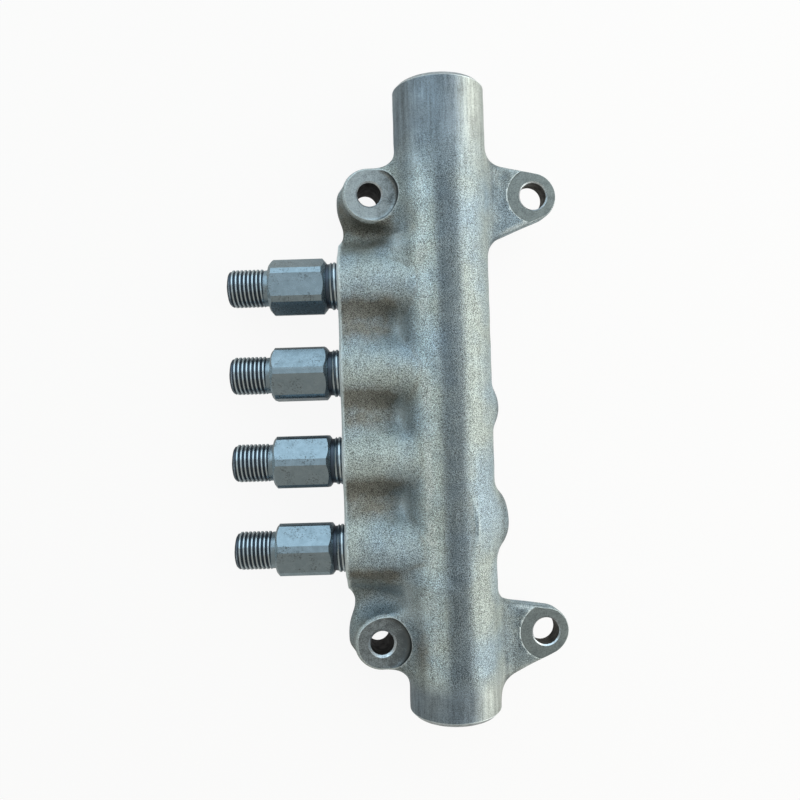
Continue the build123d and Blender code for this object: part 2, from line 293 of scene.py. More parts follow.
skin_step, skin_margin = 0.9, 5.0
blank_points, blank_faces = skin(
    forging_field, body_low - skin_margin, body_high + skin_margin, skin_step
)
rail = new_piece("rail_forging", blank_points, blank_faces)


# Machining
# The drop forging is faced across the outlets, spot-faced and drilled at its four bolts, bored
# through, and tapped at both ends and at the inlet. Each tool's path is a closed surface, and the
# blank is cut with it, so that the edges between forged skin and bare cut metal stay crisp.

thread_pitch = 1.5


def square_to(way):
    """Two unit vectors across a direction, so that the three make a right-handed set."""
    way = np.array(way, float) / np.linalg.norm(way)
    side = np.cross(way, (0, 0, 1) if abs(way[2]) < 0.9 else (0, 1, 0))
    side /= np.linalg.norm(side)
    return way, side, np.cross(way, side)


def grid_faces(index):
    """A face between each four neighbours of a grid of point numbers."""
    return np.stack([index[:-1, :-1], index[1:, :-1], index[1:, 1:], index[:-1, 1:]], -1).reshape(-1, 4)


def swept(name, foot, way, rows, turns, closed):
    """Rows of (reach, radius) carried round an axis: foot + reach * way + radius * (cos * side + sin *
    third). Reach and radius may each be one number or an array over the turns. A closed sweep
    joins its last row to its first, and any other ends on the axis."""
    way, side, third = square_to(way)
    reach = np.stack([np.broadcast_to(row[0], turns.shape) for row in rows])[..., None]
    radius = np.stack([np.broadcast_to(row[1], turns.shape) for row in rows])[..., None]
    spoke = np.cos(turns)[:, None] * side + np.sin(turns)[:, None] * third
    points = foot + reach * way + radius * spoke
    index = np.arange(len(rows) * len(turns)).reshape(len(rows), len(turns))
    if closed:
        index = np.concatenate([index, index[:1]])
    return new_piece(name, points.reshape(-1, 3), grid_faces(index))


def thread_rows(start, end, crest, root, turns, crest_half=0.0625, root_half=0.0835):
    """A right-hand thread from start to end. The rows lie on the helix, at both edges of its crest and
    of its root, so reach = pitch * (turn / 2 pi + phase), held between the ends. The radius falls
    from crest to root along the flanks, by the distance from the crest in pitches."""
    first = np.floor(start / thread_pitch) - 2
    last = np.ceil(end / thread_pitch) + 1
    phases = np.array([-crest_half, crest_half, 0.5 - root_half, 0.5 + root_half])
    phases = (np.arange(first, last)[:, None] + phases).ravel()
    reach = np.clip((phases[:, None] + turns / (2 * pi)) * thread_pitch, start, end)
    away = reach / thread_pitch - turns / (2 * pi)
    away = np.abs(away - np.round(away))
    share = np.clip((0.5 - root_half - away) / (0.5 - root_half - crest_half), 0, 1)
    return [(r, root + (crest - root) * s) for r, s in zip(reach, share)]


def round_turns(count):
    """Angles of one whole turn, with the first repeated at the end."""
    return np.linspace(0, 2 * pi, count + 1)


def tool(name, foot, way, *rows, count=64):
    """A turned cutter from its (reach, radius) corners, closed on its axis at both ends."""
    closed_rows = [(rows[0][0], 0.0), *rows, (rows[-1][0], 0.0)]
    return swept(name, np.array(foot, float), way, closed_rows, round_turns(count), False)


def tap(name, foot, way, mouth, depth, radius):
    """A drilled and tapped hole: thread to its depth, then a drill point, with a chamfered mouth."""
    turns = round_turns(64)
    thread_depth, point_angle, bottom_gap = 0.92, radians(31), 1.0
    flare_edge, flare_stock, past_mouth = 0.3, 3.0, 2.0
    core, bottom, top = radius - thread_depth, mouth - depth, mouth + past_mouth
    rows = [(bottom - core * tan(point_angle), 0.0), (bottom, core)]
    for reach, size in thread_rows(bottom + bottom_gap, top, radius, core, turns):
        flare = radius + flare_edge - (mouth - reach)
        rows.append((reach, np.maximum(size, np.minimum(flare, radius + flare_stock))))
    rows.append((top, 0.0))
    return swept(name, np.array(foot, float), way, rows, turns, False)


def slab(name, low, high, carry):
    """A milling pass: a box between two corners, carried to its place by a function."""
    sides = np.array([[low[k], high[k]] for k in range(3)])
    corners = np.stack(np.meshgrid(*sides, indexing="ij"), -1).reshape(-1, 3)
    faces = np.array([(0, 1, 3, 2), (4, 6, 7, 5), (0, 4, 5, 1), (2, 3, 7, 6), (0, 2, 6, 4), (1, 5, 7, 3)])
    return new_piece(name, carry(corners), faces)


def onto_port_axes(corners):
    """Carries (out, along, up) onto the outlets' directions."""
    out, along, up = corners.T
    foot = np.array(outlet_feet[0]) * (1, 0, 1)
    return foot + out[:, None] * outlet_way + along[:, None] * np.array((0, 1, 0)) + up[:, None] * outlet_up


long_radius = mounts["long_bolts"]["dims"]["hole_r_mm"]
short_radius = mounts["short_bolts"]["dims"]["hole_r_mm"]
spot_radius, spot_corner, spot_height = 10.4, 1.7, 12.0
lug_spot_radius, lug_spot_height = 10.3, 9.0
upper_break, lower_break, lug_break = 0.55, 0.85, 0.5
overshoot = 3.0
pass_half, pass_height, pass_depth = 1.5 * port_pitch + rib_radius + 9.0, 25.0, 9.0
facing = [slab(
    "gallery_pass",
    (port_face, gallery_middle - pass_half, -pass_height),
    (port_face + pass_depth, gallery_middle + pass_half, pass_height),
    onto_port_axes,
)]
boss_spots, lug_spots, drills, broken_edges = [], [], [], []
for end, y, boss_break in (("top", bolt_y, upper_break), ("bottom", -bolt_y, lower_break)):
    boss_spots += [
        tool(f"boss_spot_{end}", (0, y, 0), (0, 0, 1), *(
            (boss_top + spot_corner * (1 - cos(a)), spot_radius - spot_corner * (1 - sin(a)))
            for a in np.radians((0, 15, 30, 45, 60, 75, 90))
        ), (boss_top + spot_height, spot_radius)),
        tool(
            f"boss_seat_{end}", (0, y, 0), (0, 0, 1),
            (-overshoot, seat_pass + overshoot), (0, seat_pass + overshoot),
        ),
    ]
    lug_spots.append(tool(
        f"lug_spot_{end}", (lug_x, y, 0), (0, 0, 1),
        (lug_top, lug_spot_radius), (lug_top + lug_spot_height, lug_spot_radius),
    ))
    holes = (
        (0, 0, boss_top, long_radius, boss_break),
        (lug_x, lug_floor, lug_top, short_radius, lug_break),
    )
    for x, low, high, radius, broken in holes:
        drills.append(tool(
            f"bolt_drill_{end}_{round(x)}", (x, y, 0), (0, 0, 1),
            (low - overshoot, radius), (high + overshoot, radius),
        ))
        for face, side in ((low, -1), (high, 1)):
            broken_edges.append(tool(
                f"edge_break_{end}_{round(x)}_{side}", (x, y, face), (0, 0, side),
                (-2 * broken, radius - broken), (0, radius + broken), (overshoot, radius + broken),
            ))

edge_cut, clear = 1.4, 2.0
end_port_radius, end_port_depth, through_radius = mounts["end_port_top"]["dims"]["r_mm"], 20.0, 5.25
ends, end_taps = [], []
for end, y, side in (("top", barrel_ends[1], 1), ("bottom", barrel_ends[0], -1)):
    foot, way = (barrel_x, y, barrel_z), (0, side, 0)
    ends.append(swept(
        f"end_pass_{end}", np.array(foot), way,
        [(0, 0.0), (0, barrel_radius - edge_cut), (-edge_cut, barrel_radius),
         (-edge_cut - clear, barrel_radius + clear), (2 * clear, barrel_radius + clear), (2 * clear, 0.0)],
        round_turns(96), False,
    ))
    end_taps.append(tap(f"end_tap_{end}", foot, way, 0.0, end_port_depth, end_port_radius))

inlet_thread_radius = mounts["inlet_port"]["dims"]["r_mm"]
inlet_depth, inlet_spot_depth, inlet_spot_radius = 10.0, 0.3, 7.6
port_floor, port_drill, port_break, port_feed = 22.0, 9.0, 0.8, 1.5
bores = [
    tool(
        "through_drill", (barrel_x, 0, barrel_z), (0, 1, 0),
        (barrel_ends[0] - clear, through_radius), (barrel_ends[1] + clear, through_radius),
    ),
    *end_taps,
    tap("inlet_tap", inlet_foot, inlet_way, inlet_face, inlet_depth, inlet_thread_radius),
    tool(
        "inlet_spot", inlet_foot, inlet_way,
        (inlet_face - inlet_spot_depth, inlet_spot_radius), (inlet_face + overshoot, inlet_spot_radius),
    ),
]
for number, foot in enumerate(outlet_feet, 1):
    bores.append(tool(
        f"port_drill_{number}", foot, outlet_way,
        (port_floor, port_drill), (port_face - port_break, port_drill),
        (port_face, port_drill + port_break), (port_face + overshoot, port_drill + port_break),
    ))
    bores.append(tool(
        f"cross_drill_{number}", foot, outlet_way, (2.0, port_feed), (port_floor + 2.0, port_feed), count=24
    ))


def cut(piece, cutters, finish):
    """Cuts each tool's path out of the piece, and gives the bared faces the finish that the tool leaves."""
    for cutter in cutters:
        cutter.data.materials.append(finish)
        carve = piece.modifiers.new(cutter.name, "BOOLEAN")
        carve.operation = "DIFFERENCE"
        carve.solver = "MANIFOLD"
        carve.material_mode = "TRANSFER"
        carve.object = cutter
    bpy.context.view_layer.update()
    graph = bpy.context.evaluated_depsgraph_get()
    machined = bpy.data.meshes.new_from_object(piece.evaluated_get(graph))
    piece.modifiers.clear()
    piece.data = machined
    for cutter in cutters:
        bpy.data.objects.remove(cutter)


# Forged and cut surfaces
# The forging is shot-blasted and left bare, so it has darkened with dust, fuel and handling, and painted
# shade, painted highlights and a painted reflection lie on it too. Each cut face shows the marks of its own
# tool, the metal is bare and painted bright along its edges, and the boss faces are painted darker as
# shade.


class Wire:
    """One output of a node. Sums and products of it add their Math nodes, and make adds any other."""

    def __init__(self, tree, socket=None):
        self.tree = tree
        self.socket = socket

    def make(self, kind, settings=None, values=None, output=0):
        """Adds a node, with its settings first and then each socket's value or link."""
        node = self.tree.nodes.new(kind)
        for name, value in (settings or {}).items():
            setattr(node, name, value)
        for name, value in (values or {}).items():
            if isinstance(value, Wire):
                self.tree.links.new(value.socket, node.inputs[name])
            elif isinstance(value, tuple) and len(value) == 3 and node.inputs[name].type == "RGBA":
                node.inputs[name].default_value = (*value, 1)
            else:
                node.inputs[name].default_value = value
        return Wire(self.tree, node.outputs[output])

    def math(self, operation, *values):
        """A Math node on two or three numbers or wires."""
        return self.make("ShaderNodeMath", {"operation": operation}, dict(enumerate(values)))

    def __add__(self, other):
        return self.math("ADD", self, other)

    __radd__ = __add__

    def __mul__(self, other):
        return self.math("MULTIPLY", self, other)

    __rmul__ = __mul__

    def __sub__(self, other):
        return self.math("SUBTRACT", self, other)

    def __rsub__(self, other):
        return self.math("SUBTRACT", other, self)

    def __pow__(self, other):
        return self.math("POWER", self, other)

    def __abs__(self):
        return self.math("ABSOLUTE", self)

    def held(self, low, high):
        """This value from low to high, as a share from 0 to 1."""
        return self.make("ShaderNodeMapRange", {"clamp": True}, {0: self, 1: low, 2: high})

    def noise(self, size, detail=2.0, roughness=0.5):
        """Noise with features of a size in millimetres, at this place."""
        values = {"Vector": self, "Scale": 1 / (size * mm), "Detail": detail, "Roughness": roughness}
        return self.make("ShaderNodeTexNoise", None, values)

    def mixed(self, first, second):
        """A colour that goes from the first to the second with this value."""
        return self.make(
            "ShaderNodeMix", {"data_type": "RGBA"}, {"Factor": self, "A": first, "B": second}, "Result"
        )

    def times(self, other, share=1.0):
        """This colour multiplied by another one, by a share."""
        settings = {"data_type": "RGBA", "blend_type": "MULTIPLY"}
        return self.make("ShaderNodeMix", settings, {"Factor": share, "A": self, "B": other}, "Result")


def finish_of(name):
    """A new material with its shader, and a wire at the object's own coordinates."""
    material = bpy.data.materials.new(name)
    material.use_nodes = True
    shader = material.node_tree.nodes["Principled BSDF"]
    place = Wire(material.node_tree).make("ShaderNodeTexCoord", output="Object")
    return material, shader, place


def wire_up(shader, place, colour, roughness, height, depth, metallic=1.0):
    """Feeds a shader its colour, roughness and bump, with the bump's full depth in millimetres."""
    links = shader.id_data.links
    bump = place.make("ShaderNodeBump", None, {"Height": height, "Distance": depth * mm})
    links.new(colour.socket, shader.inputs["Base Color"])
    links.new(roughness.socket, shader.inputs["Roughness"])
    links.new(bump.socket, shader.inputs["Normal"])
    shader.inputs["Metallic"].default_value = metallic


def forged_skin():
    """Shot-blasted scale-free steel: grains and pits under a millimetre that handling has worn off
    near the ends, where a painted reflection darkens them up to the crown and lightens them past it;
    slow green and blue tints, streaks along the rail, brown dust with painted shade in the hollows, a
    painted reflection as a pale and a dark band along the crown, and painted highlights with bare
    metal on outward corners and edges. The skin's four attributes say where each of them lies."""
    material, shader, place = finish_of("forged_skin")
    green_steel, blue_steel = (0.41, 0.455, 0.435), (0.35, 0.43, 0.48)
    worn_reflection_dark, worn_reflection_pale = (0.215, 0.262, 0.31), (0.47, 0.50, 0.475)
    brown_dust_and_shade, blue_dust_and_shade = (0.185, 0.174, 0.145), (0.12, 0.155, 0.18)
    crown_reflection_blue, bare_highlight_steel = (0.28, 0.36, 0.44), (0.72, 0.79, 0.80)
    pit_shade, grain_shade = (0.24, 0.24, 0.235), (1.48, 1.50, 1.52)
    reflection_dark, reflection_pale = (0.30, 0.31, 0.32), (1.70, 1.70, 1.70)
    drawn_out = (1.0, 0.07, 1.0)
    dirt, bare, worn, sheen = (
        place.make("ShaderNodeAttribute", {"attribute_name": name}, output="Fac")
        for name in ("dirt", "bare", "worn", "sheen")
    )
    grain = place.noise(0.28, 2.0, 0.7)
    grit = place.noise(0.5, 2.0, 0.6)
    along = place.make("ShaderNodeVectorMath", {"operation": "MULTIPLY"}, {0: place, 1: drawn_out})
    streaks = along.noise(1.5, 3.0, 0.6).held(0.35, 0.65)
    patches = place.noise(22.0, 2.0, 0.5).held(0.38, 0.62)
    clouds = place.noise(5.0, 3.0, 0.6)
    uneven = 0.55 + clouds * 0.9
    unworn = 1.0 - worn * 0.6
    across = place.make("ShaderNodeSeparateXYZ", None, {0: place}, "X")
    past_crown = across.held((barrel_x + 3) * mm, (barrel_x + 9) * mm)
    on_lugs = across.held((lug_x - 22) * mm, (lug_x - 16) * mm)
    tone = patches.mixed(green_steel, blue_steel)
    # Painted reflection on the worn ends: darker up to the crown, paler past it.
    tone = (worn * 0.8).mixed(tone, past_crown.mixed(worn_reflection_dark, worn_reflection_pale))
    # Dust, mixed with painted shade under the ribs, in hollows, on the bosses' lower flanks and along the
    # seam.
    dust_and_shade_mix = (dirt * uneven + (clouds - 0.6) * 0.7).held(0.06, 0.9)
    tone = (dust_and_shade_mix * 0.85).mixed(tone, on_lugs.mixed(brown_dust_and_shade, blue_dust_and_shade))
    # Painted reflection along the crown: a dark blue band on it and a pale band beside it.
    reflection_band = sheen * uneven
    tone = (reflection_band.held(0.0, -0.4) * 0.5).mixed(tone, crown_reflection_blue)
    # Painted highlights on edges, rims and in the pockets, with bare metal where two finishes meet.
    tone = bare.mixed(tone, bare_highlight_steel)
    pits = (grain * 0.76 + grit * 0.24).held(0.42, 0.58) * unworn
    pits = pits + worn * 0.2 + streaks * (0.14 + worn * 0.16) + clouds * 0.4 - 0.27
    tone = tone.times(pits.mixed(pit_shade, grain_shade), 1.0 - bare * 0.75)
    tone = tone.times(reflection_band.held(-0.5, 0.5).mixed(reflection_dark, reflection_pale))
    roughness = 0.46 + grain * 0.14 - worn * 0.05
    wire_up(shader, place, tone, roughness, (grain + grit * 0.5) * unworn, 0.2, metallic=0.85)
    return material


def cut_finish(name, marks, colour=(0.40, 0.44, 0.47), rough=0.33, shade_share=0.0):
    """Bare cut steel: fine tool marks at a spacing along a given distance, stains in patches and in
    spots, and a share of painted shade that grows over 10 mm towards the barrel, and down the rail."""
    material, shader, place = finish_of(name)
    mark_spacing, mark_depth = 0.3, 0.004
    palest, darkest = 1.3, 0.36
    lines = place.math("SINE", marks(place) * (2 * pi / (mark_spacing * mm)))
    stain = place.noise(2.4, 3.0, 0.6).held(0.35, 0.7)
    spots = place.noise(0.5, 2.0, 0.7).held(0.42, 0.62)
    across = place.make("ShaderNodeSeparateXYZ", None, {0: place}, "X").held(0, 10 * mm)
    lower = place.make("ShaderNodeSeparateXYZ", None, {0: place}, "Y").held(60 * mm, -60 * mm)
    # Painted shade: darker over 10 mm towards the barrel and down the rail.
    darkening = (across + lower) * shade_share
    shade = (stain * 0.5 + spots * 0.5 + lines * 0.06 + darkening).held(0.0, 1.3)
    tone = shade.mixed(tuple(palest * c for c in colour), tuple(darkest * c for c in colour))
    wire_up(shader, place, tone, rough + stain * 0.2, lines, mark_depth)
    return material


def from_bolts(place):
    """Distance from the nearest bolt's axis: both rows of bolts are alike about the part's middle."""
    x = place.make("ShaderNodeSeparateXYZ", None, {0: place}, "X")
    y = place.make("ShaderNodeSeparateXYZ", None, {0: place}, "Y")
    along = abs(y) - bolt_y * mm
    near = (x * x + along * along) ** 0.5
    beyond = x - lug_x * mm
    far = (beyond * beyond + along * along) ** 0.5
    return place.math("MINIMUM", near, far)


def from_barrel(place):
    """Distance from the barrel's axis."""
    x = place.make("ShaderNodeSeparateXYZ", None, {0: place}, "X") - barrel_x * mm
    z = place.make("ShaderNodeSeparateXYZ", None, {0: place}, "Z") - barrel_z * mm
    return (x * x + z * z) ** 0.5


def along_rail(place):
    """Distance along the rail, with the bow that a wide milling head leaves: it grows with the square
    of the height from the barrel's axis."""
    bow = 12.0
    y = place.make("ShaderNodeSeparateXYZ", None, {0: place}, "Y")
    z = place.make("ShaderNodeSeparateXYZ", None, {0: place}, "Z") - barrel_z * mm
    return y + z * z * bow


rail.data.materials.append(forged_skin())
cut(rail, facing, cut_finish("milled_face", along_rail))
# The boss faces carry painted shade towards the barrel and down the rail.
cut(rail, boss_spots, cut_finish("boss_face", from_bolts, (0.33, 0.37, 0.385), 0.36, 0.55))
cut(rail, lug_spots, cut_finish("lug_face", from_bolts, (0.175, 0.205, 0.21), 0.36))
# The drilled walls are near black: painted shade deep in the bolt holes, with oil.
cut(rail, drills, cut_finish("drilled_wall", from_bolts, (0.045, 0.042, 0.04), 0.5))
cut(rail, broken_edges, cut_finish("broken_edge", from_bolts, (0.62, 0.68, 0.72), 0.3))
cut(rail, ends + bores, cut_finish("turned_face", from_barrel))


def hump(value, middle, width, power=2):
    """A bell, 1 in the middle: e to the minus of the distance over the width, to an even power."""
    return np.exp(-((value - middle) / width) ** power)


# The skin's shades are a share at each of its points, from places and widths in millimetres. bend is
# the field's six neighbours less six times itself, over their distance squared: above 0 on outward
# corners and below 0 in hollows.
places = np.zeros(len(rail.data.vertices) * 3)
rail.data.vertices.foreach_get("co", places)
places = places.reshape(-1, 3) / mm
x, y, z = places.T
bend_reach = 1.6
steps = [bend_reach * side * unit for unit in np.eye(3) for side in (1, -1)]
around = sum(forging_field(*(places + step).T) for step in steps)
bend = (around - 6 * forging_field(x, y, z)) / bend_reach**2
out = along_and_up(x, z, outlet_feet[0], outlet_way, outlet_up)[0]
below_rib = (outlet_feet[0][1] - y) % port_pitch
last_valley = ramp(y, outlet_feet[3][1] - 7, outlet_feet[3][1] - 11)
from_crown = x - barrel_x
off_barrel = np.abs(np.hypot(from_crown, z - barrel_z) - barrel_radius)
bolt_side = y - np.where(y > 0, bolt_y, -bolt_y)
from_bolt = np.hypot(x, bolt_side)

# Painted shadow with some dust lies under each rib, and painted shade with dust in hollows, except at a
# painted highlight in each pocket and one above the lower boss. Painted shade lies on each boss's lower
# flank and along the gallery's seam, the lugs' tops are darker, and dust lies in two splashes.
# Painted highlights: a patch in each pocket beside the barrel, and one above the lower boss.
painted_glints = hump(below_rib, 17, 5) * hump(out, 16.8, 2.4) * (np.abs(y) < bolt_y - 15)
painted_glints = np.maximum(painted_glints, 0.8 * hump(x, 9, 5) * hump(y, -69, 5))
rib_shadow_and_dust = hump(below_rib, 8.4, 3.2) + 0.8 * ramp(below_rib, 7, 12) * ramp(below_rib, 25, 18)
rib_shadow_and_dust *= ramp(out, 12, 22) * ramp(np.abs(y), bolt_y + 16, bolt_y + 13) * (1 - 0.45 * last_valley)
hollow_shade_and_dust = np.clip(-2 * bend, 0, 0.7) * (1 - 0.6 * last_valley)
boss_flank_shade = np.clip(-0.09 * (bolt_side + 0.5 * x), 0, 0.85)
boss_flank_shade *= (from_bolt < boss_radius + 2.5) * (z < boss_top - 0.8)
on_lugs = 0.75 * ramp(x, lug_x - 19.5, lug_x - 16.5) * (z > lug_top - 1)
seam_shade = 0.8 * hump(np.maximum(off_barrel, np.abs(gallery_field(x, y, z))), 0, 0.8) * (z > 0)
splashes = 0.85 * hump(from_crown, -13.5, 3) * hump(y, -84, 9)
splashes += 0.55 * hump(from_crown, -13, 3.5) * hump(y, 71, 8)
splashes *= z > barrel_z
dirt = np.maximum(rib_shadow_and_dust, hollow_shade_and_dust) * (1 - painted_glints)
dirt = np.maximum.reduce([dirt, boss_flank_shade, on_lugs, seam_shade, splashes])

# Both ends are worn by handling. Along the rest of the barrel's top runs a painted reflection: a pale
# band, above 0, on the outlets' side of the crown, and a dark one, below 0, on the crown.
worn_at_top = ramp(y, barrel_ends[1] - 38, barrel_ends[1] - 18) * (x > 10)
worn = np.maximum(worn_at_top, ramp(y, barrel_ends[0] + 18, barrel_ends[0] + 10))
band_side = from_crown + 0.8 + 0.008 * np.maximum(y - 20, 0)
sheen = 0.5 * hump(band_side, -9.0, 3.6) - 0.38 * hump(band_side, 0.3, 4.6, 4)
sheen *= ramp(off_barrel, 2, 1) * ramp(z, barrel_z + 7, barrel_z + 11) * (1 - 0.7 * worn)

# Metal is bare where two finishes meet at a point. Painted highlights lie on outward corners, round the
# milled face and the bosses' tops, in the pockets and above the lower boss.
face_finish = np.zeros(len(rail.data.polygons), int)
rail.data.polygons.foreach_get("material_index", face_finish)
face_corners = np.zeros(len(rail.data.polygons), int)
rail.data.polygons.foreach_get("loop_total", face_corners)
corner_place = np.zeros(len(rail.data.loops), int)
rail.data.loops.foreach_get("vertex_index", corner_place)
corner_finish = np.repeat(face_finish, face_corners)
lowest = np.full(len(places), len(rail.data.materials))
highest = np.zeros(len(places), int)
np.minimum.at(lowest, corner_place, corner_finish)
np.maximum.at(highest, corner_place, corner_finish)
outward_highlight = np.clip(1.4 * bend - 0.4, 0, 0.6)
milled_rim_highlight = ramp(out, port_face - 1.3, port_face - 1.0) * (np.abs(y - gallery_middle) < pass_half - 4)
boss_rim_highlight = (from_bolt > 8.5) * (from_bolt < 10.6) * ramp(z, boss_top - 1.4, boss_top - 0.6)
bare = np.maximum.reduce([
    1.0 * (highest > lowest), outward_highlight, milled_rim_highlight, 0.6 * boss_rim_highlight, 0.6 * painted_glints
])

for name, share in (("dirt", dirt), ("worn", worn), ("sheen", sheen), ("bare", bare)):
    rail.data.attributes.new(name, "FLOAT", "POINT").data.foreach_set("value", share)
rail.data.shade_smooth()
rail.data.set_sharp_from_angle(angle=radians(32))
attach(rail, "rail")
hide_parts("rail_body")


# Damper housings
# Each outlet's fitting is turned from hexagon bar: a pipe thread with a cone seat, a hexagon for the
# spanner, and a threaded stub that screws into the gallery. Zinc plate covers it. Tightening left each
# hexagon at its own angle, given in degrees.

hex_start, hex_end, tip = 43.5, 64.5, 79.8
nose_start, chamber_end = 23.5, 54.0
apothem, corner_radius, face_radius = 9.5, 10.35, 8.7
hex_turns = (-31.0, 7.0, 3.0, 9.5)
outlet_radius, outlet_thread_depth = 7.0, 0.6
collar_radius, collar_length = 6.75, 2.0
stub_radius, stub_thread_depth = 8.8, 0.5
relief_radius, relief_length = 8.2, 1.2
nose_radius, nose_length = 7.8, 2.5
chamber_radius, feed_radius = 4.2, 1.5


def hexagon(turns, hex_turn):
    """Radius at each angle of a hexagon whose corners are turned down to a cylinder: the flats are
    apothem / cos of the angle from their middle, and no more than the cylinder's radius."""
    offset = (turns - hex_turn + pi / 6) % (pi / 3) - pi / 6
    return np.minimum(apothem / np.cos(offset), corner_radius)


def hex_columns(hex_turn):
    """Angles for a hexagonal fitting: every five degrees, and at both edges of each turned corner."""
    land = pi / 6 - np.arccos(apothem / corner_radius)
    sector = np.concatenate([(-land, -land / 2, 0.0, land / 2, land), np.radians(np.arange(10, 55, 5))])
    turns = np.sort((np.arange(6)[:, None] * pi / 3 + pi / 6 + sector + hex_turn).ravel() % (2 * pi))
    return np.append(turns, turns[0] + 2 * pi)


def housing_rows(turns, hex_turn):
    """The fitting's section from its bore over the pipe thread, the hexagon and the stub, and back
    through the damper chamber. A chamfer on the hexagon is a cone: where the hexagon's radius
    passes the cone's, the edge lies further along by the difference times tan 40."""
    outline = hexagon(turns, hex_turn)
    chamfer = (outline - face_radius) * tan(radians(40))
    seat_depth, seat_radius, mouth_radius, mouth_edge = 5.2, 4.35, 4.6, 0.3
    round_length, round_drop = 2.2, 2.0
    collar_edge, relief_edge, nose_edge, chamber_edge = 0.3, 0.2, 0.4, 0.3
    rows = [
        (chamber_end, feed_radius), (tip - seat_depth, feed_radius), (tip - mouth_edge, seat_radius),
        (tip, mouth_radius), (tip, outlet_radius - round_drop),
    ]
    pipe_end = hex_end + collar_length
    pipe_root = outlet_radius - outlet_thread_depth
    for reach, radius in reversed(thread_rows(pipe_end, tip, outlet_radius, pipe_root, turns, 0.16)):
        share = np.clip((tip - reach) / round_length, 0, 1)
        lead = outlet_radius - round_drop * (1 - np.sqrt(1 - (1 - share) ** 2))
        run_out = collar_radius + (reach - pipe_end) * 0.5
        rows.append((reach, np.minimum(radius, np.minimum(lead, run_out))))
    rows += [
        (hex_end + collar_edge, collar_radius), (hex_end, collar_radius + collar_edge),
        (hex_end, face_radius), (hex_end - chamfer, outline), (hex_start + chamfer, outline),
        (hex_start, face_radius), (hex_start, relief_radius + relief_edge),
        (hex_start - relief_edge, relief_radius),
    ]
    stub_start, stub_end = nose_start + nose_length, hex_start - relief_length
    stub_root = stub_radius - stub_thread_depth
    for reach, radius in reversed(thread_rows(stub_start, stub_end, stub_radius, stub_root, turns, 0.2)):
        run_out = relief_radius + (stub_end - reach)
        lead = nose_radius + (reach - stub_start)
        rows.append((reach, np.minimum(radius, np.minimum(lead, run_out))))
    rows += [
        (nose_start + nose_edge, nose_radius), (nose_start, nose_radius - nose_edge),
        (nose_start, chamber_radius + chamber_edge), (nose_start + chamber_edge, chamber_radius),
        (chamber_end, chamber_radius),
    ]
    return rows


housings = []
for number, foot in enumerate(outlet_feet, 1):
    hex_turn = radians(hex_turns[number - 1])
    columns = hex_columns(hex_turn)
    housing = swept(
        f"damper_fitting_{number}", foot, outlet_way, housing_rows(columns, hex_turn), columns, True
    )
    housing.data.shade_smooth()
    housing.data.set_sharp_from_angle(angle=radians(24))
    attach(housing, "rail")
    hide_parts(f"damper_housing_{number}")
    housings.append(housing)


def from_outlets(place):
    """Reach along the outlets' direction, and distance from the nearest outlet's axis: what is left of
    y past whole port pitches, and the height across the axis."""
    x, y, z = (place.make("ShaderNodeSeparateXYZ", None, {0: place}, side) for side in "XYZ")
    x, z = x - barrel_x * mm, z - outlet_feet[0][2] * mm
    reach = x * outlet_way[0] + z * outlet_way[2]
    up = x * outlet_up[0] + z * outlet_up[2]
    pitch = port_pitch * mm
    along = place.math("FLOORED_MODULO", y - (outlet_feet[0][1] * mm - pitch / 2), pitch) - pitch / 2
    return reach, (along * along + up * up) ** 0.5


def plated_finish():
    """Zinc-plated steel: steel blue with small dark pits, black grime with painted shade in the thread
    roots and in the groove beside the hexagon, and painted highlights on the thread crests."""
    material, shader, place = finish_of("plated_steel")
    pale_zinc, dark_zinc = (0.30, 0.375, 0.425), (0.255, 0.325, 0.37)
    pit_grey, crest_highlight_grey, black_grime_and_shade = (0.10, 0.115, 0.12), (0.66, 0.74, 0.78), (0.05, 0.063, 0.085)
    mottle = place.noise(2.2, 3.0, 0.6).held(0.36, 0.66)
    pits = place.noise(0.6, 2.0, 0.6).held(0.53, 0.62) * place.noise(5.0, 2.0, 0.5).held(0.45, 0.6)
    reach, radius = from_outlets(place)
    in_rail = place.math("LESS_THAN", reach, (hex_start - 0.02) * mm)
    on_pipe = place.math("GREATER_THAN", reach, (hex_end + collar_length - 0.1) * mm)
    beside_hex = in_rail * place.math("GREATER_THAN", reach, (hex_start - relief_length + 0.1) * mm)
    below_crest = outlet_radius * mm + in_rail * ((stub_radius - outlet_radius) * mm) - radius
    roots = below_crest.held(0.12 * mm, 0.52 * mm)
    # Black grime with painted shade in the thread roots and in the groove beside the hexagon.
    darkening = roots * (on_pipe + in_rail * 0.75) + beside_hex
    # Painted highlights on the thread crests.
    crest_highlight = (1.0 - below_crest.held(0.02 * mm, 0.14 * mm)) * (on_pipe + in_rail)
    tone = mottle.mixed(pale_zinc, dark_zinc)
    tone = (pits * 0.75).mixed(tone, pit_grey)
    tone = (crest_highlight * 0.6).mixed(tone, crest_highlight_grey)
    tone = (darkening.held(0, 1) * 0.93).mixed(tone, black_grime_and_shade)
    wire_up(shader, place, tone, 0.25 + mottle * 0.07 + roots * 0.15, place.noise(0.35, 2.0), 0.01)
    return material


plated = plated_finish()
for housing in housings:
    housing.data.materials.append(plated)


# Damper springs
# Each piston is held back by a coil of round drawn wire. It sits between the piston's shoulder and the
# end of the damper chamber.

wire_radius, coil_radius, coil_turns, coil_gap = 0.35, 3.5, 5, 0.1
shoulder = 38.6


